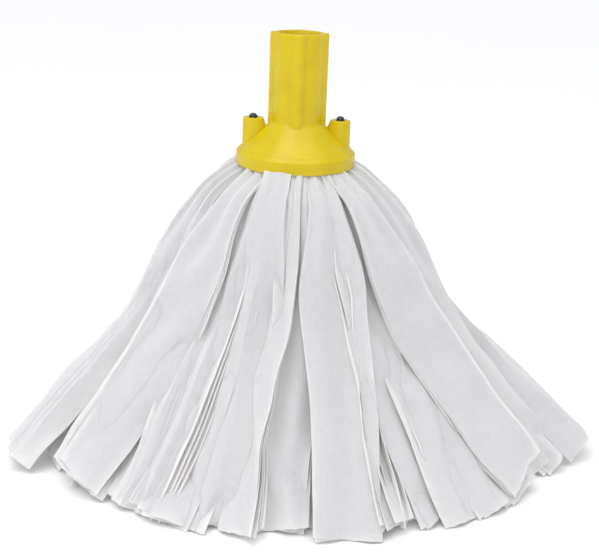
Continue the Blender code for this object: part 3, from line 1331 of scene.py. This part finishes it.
@dataclass(frozen=True)
class Sun:
    """A wide, soft light far away.

    Elevation is in degrees above the floor, and spread is how many degrees of the sky it fills.
    """

    name: str
    azimuth: float
    elevation: float
    spread: float
    power: float


@dataclass(frozen=True)
class Softbox:
    """A rectangular light."""

    name: str
    place: Point
    size: tuple[float, float]
    power: float


@dataclass
class Studio:
    """A pale seamless floor, soft lights and the camera."""

    distance: float = 0.640
    above_top: float = 0.0645
    aside: float = 0.00535
    pitch: float = 18.64
    roll: float = 2.25
    focal_share: float = 1.799
    sensor_width: float = 36.0
    wall: float = 1.06
    sky_power: float = 0.47
    daylight: Colour = (0.965, 0.97, 1.0)
    floor_radius: float = 14.0
    floor_steps: int = 64
    paper: tuple[Colour, Colour] = ((0.965, 0.965, 0.965), (0.975, 0.975, 0.975))
    paper_grain: tuple[float, float] = (0.002, 0.4)
    softbox_aim: Point = (0, 0, 0.2)
    softbox: Softbox = Softbox("overhead", (-0.42, -0.2, 1.5), (0.7, 0.9), 3.0)
    suns: tuple[Sun, ...] = (
        Sun("key", -34, 48, 60, 0.7),
        Sun("fill", 4, 16, 30, 0.24),
        Sun("top", 14, 78, 60, 1.02),
    )

    def put(self, data: bpy.types.ID, place: Vector | Point, turn: Quaternion) -> bpy.types.Object:
        """Puts a light or the camera in the scene.

        Args:
            data: the light's or camera's data, whose name it takes.
            place: where it stands.
            turn: how it is turned.

        Returns:
            The object.
        """
        made = bpy.data.objects.new(data.name, data)
        bpy.context.scene.collection.objects.link(made)
        made.location = place
        made.rotation_mode = "QUATERNION"
        made.rotation_quaternion = turn
        return made

    def add_floor(self) -> None:
        """Lays a wide, level paper floor."""
        angles = [math.tau * i / self.floor_steps for i in range(self.floor_steps)]
        across = self.floor_radius
        rim = np.array([(across * math.cos(a), across * math.sin(a), 0.0) for a in angles])
        material, tree, shader = start_material("studio_paper")
        grain = tree.grain(tree.add("TexCoord").outputs["Object"], *self.paper_grain)
        tree.feed(shader, {
            "Base Color": tree.ramp(grain["Patches"], self.paper, 0.3, 0.7),
            "Roughness": 0.95,
            "Specular IOR Level": 0.1,
            "Emission Color": (1.0, 0.97, 0.94, 1),
            "Emission Strength": 0.07,
        })
        new_object("studio_floor", rim, [tuple(range(self.floor_steps))], material)

    def add_sun(self, sun: Sun) -> None:
        """Hangs one distant light.

        Args:
            sun: where it is and how it shines.
        """
        lamp = bpy.data.lights.new(sun.name, "SUN")
        lamp.angle, lamp.energy, lamp.color = math.radians(sun.spread), sun.power, self.daylight
        turn, rise = math.radians(sun.azimuth), math.radians(sun.elevation)
        level = math.cos(rise)
        place = Vector((math.sin(turn) * level, -math.cos(turn) * level, math.sin(rise)))
        self.put(lamp, place * 2, place.to_track_quat("Z", "Y"))

    def add_softbox(self, box: Softbox) -> None:
        """Hangs one rectangular light that faces the socket.

        Args:
            box: where it is and how it shines.
        """
        lamp = bpy.data.lights.new(box.name, "AREA")
        lamp.shape, lamp.energy = "RECTANGLE", box.power
        lamp.size, lamp.size_y = box.size
        back = Vector(box.place) - Vector(self.softbox_aim)
        self.put(lamp, box.place, back.to_track_quat("Z", "Y"))

    def add_sky(self) -> None:
        """Sets an even light from all round, in front of a white wall."""
        world = bpy.data.worlds.new("studio_air")
        world.use_nodes = True
        tree = Tree(world.node_tree)
        seen = tree.add("LightPath").outputs["Is Camera Ray"]
        level = tree.math("MULTIPLY_ADD", seen, self.wall - self.sky_power, self.sky_power)
        back = world.node_tree.nodes["Background"]
        tree.feed(back, {"Color": (*self.daylight, 1), "Strength": level})
        bpy.context.scene.world = world

    def add_camera(self) -> None:
        """Sets a camera in front of the head and a little above it."""
        data = bpy.data.cameras.new("camera")
        data.sensor_width = self.sensor_width
        data.lens = self.focal_share * data.sensor_width
        place = (self.aside, -self.distance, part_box("socket")[1].z + self.above_top)
        look = Matrix.Rotation(math.radians(90 - self.pitch), 4, "X")
        roll = Matrix.Rotation(math.radians(self.roll), 4, "Z")
        bpy.context.scene.camera = self.put(data, place, (look @ roll).to_quaternion())

    def build(self) -> None:
        """Sets up the floor, the lights and the camera."""
        self.add_camera()
        self.add_floor()
        self.add_sky()
        for sun in self.suns:
            self.add_sun(sun)
        self.add_softbox(self.softbox)


def main() -> None:
    """Builds the mop head and its studio."""
    logging.basicConfig(level=logging.INFO, format="%(message)s")
    bpy.context.scene.view_settings.view_transform = "Standard"
    Studio().build()
    plastic, steel, cloth = MouldedPlastic().build(), BlackedSteel().build(), NonWoven().build()
    # A darker, warmer copy of the white cloth for the lining ring: painted warm shade of the deep gaps between the
    # strips.
    gap_shade_cloth = NonWoven("nonwoven_painted_gap_shade", (0.86, 0.815, 0.735), (0.9, 0.865, 0.805)).build()
    socket = Moulding(plastic).build()
    log.info("%s: %d faces", socket.name, len(socket.data.polygons))
    for side in ("left", "right"):
        log.info("%s built", DomeScrew(steel, side).build().name)
    plate = frame["nodes"]["clamp_plate"]
    plate.data.materials.clear()
    plate.data.materials.append(plastic)
    log.info("%s built", ClampedFold(cloth).build().name)
    log.info("%d legs built", Skirt(cloth, gap_shade_cloth, FRONT_BUNDLES).build())


if __name__ == "__main__":
    main()
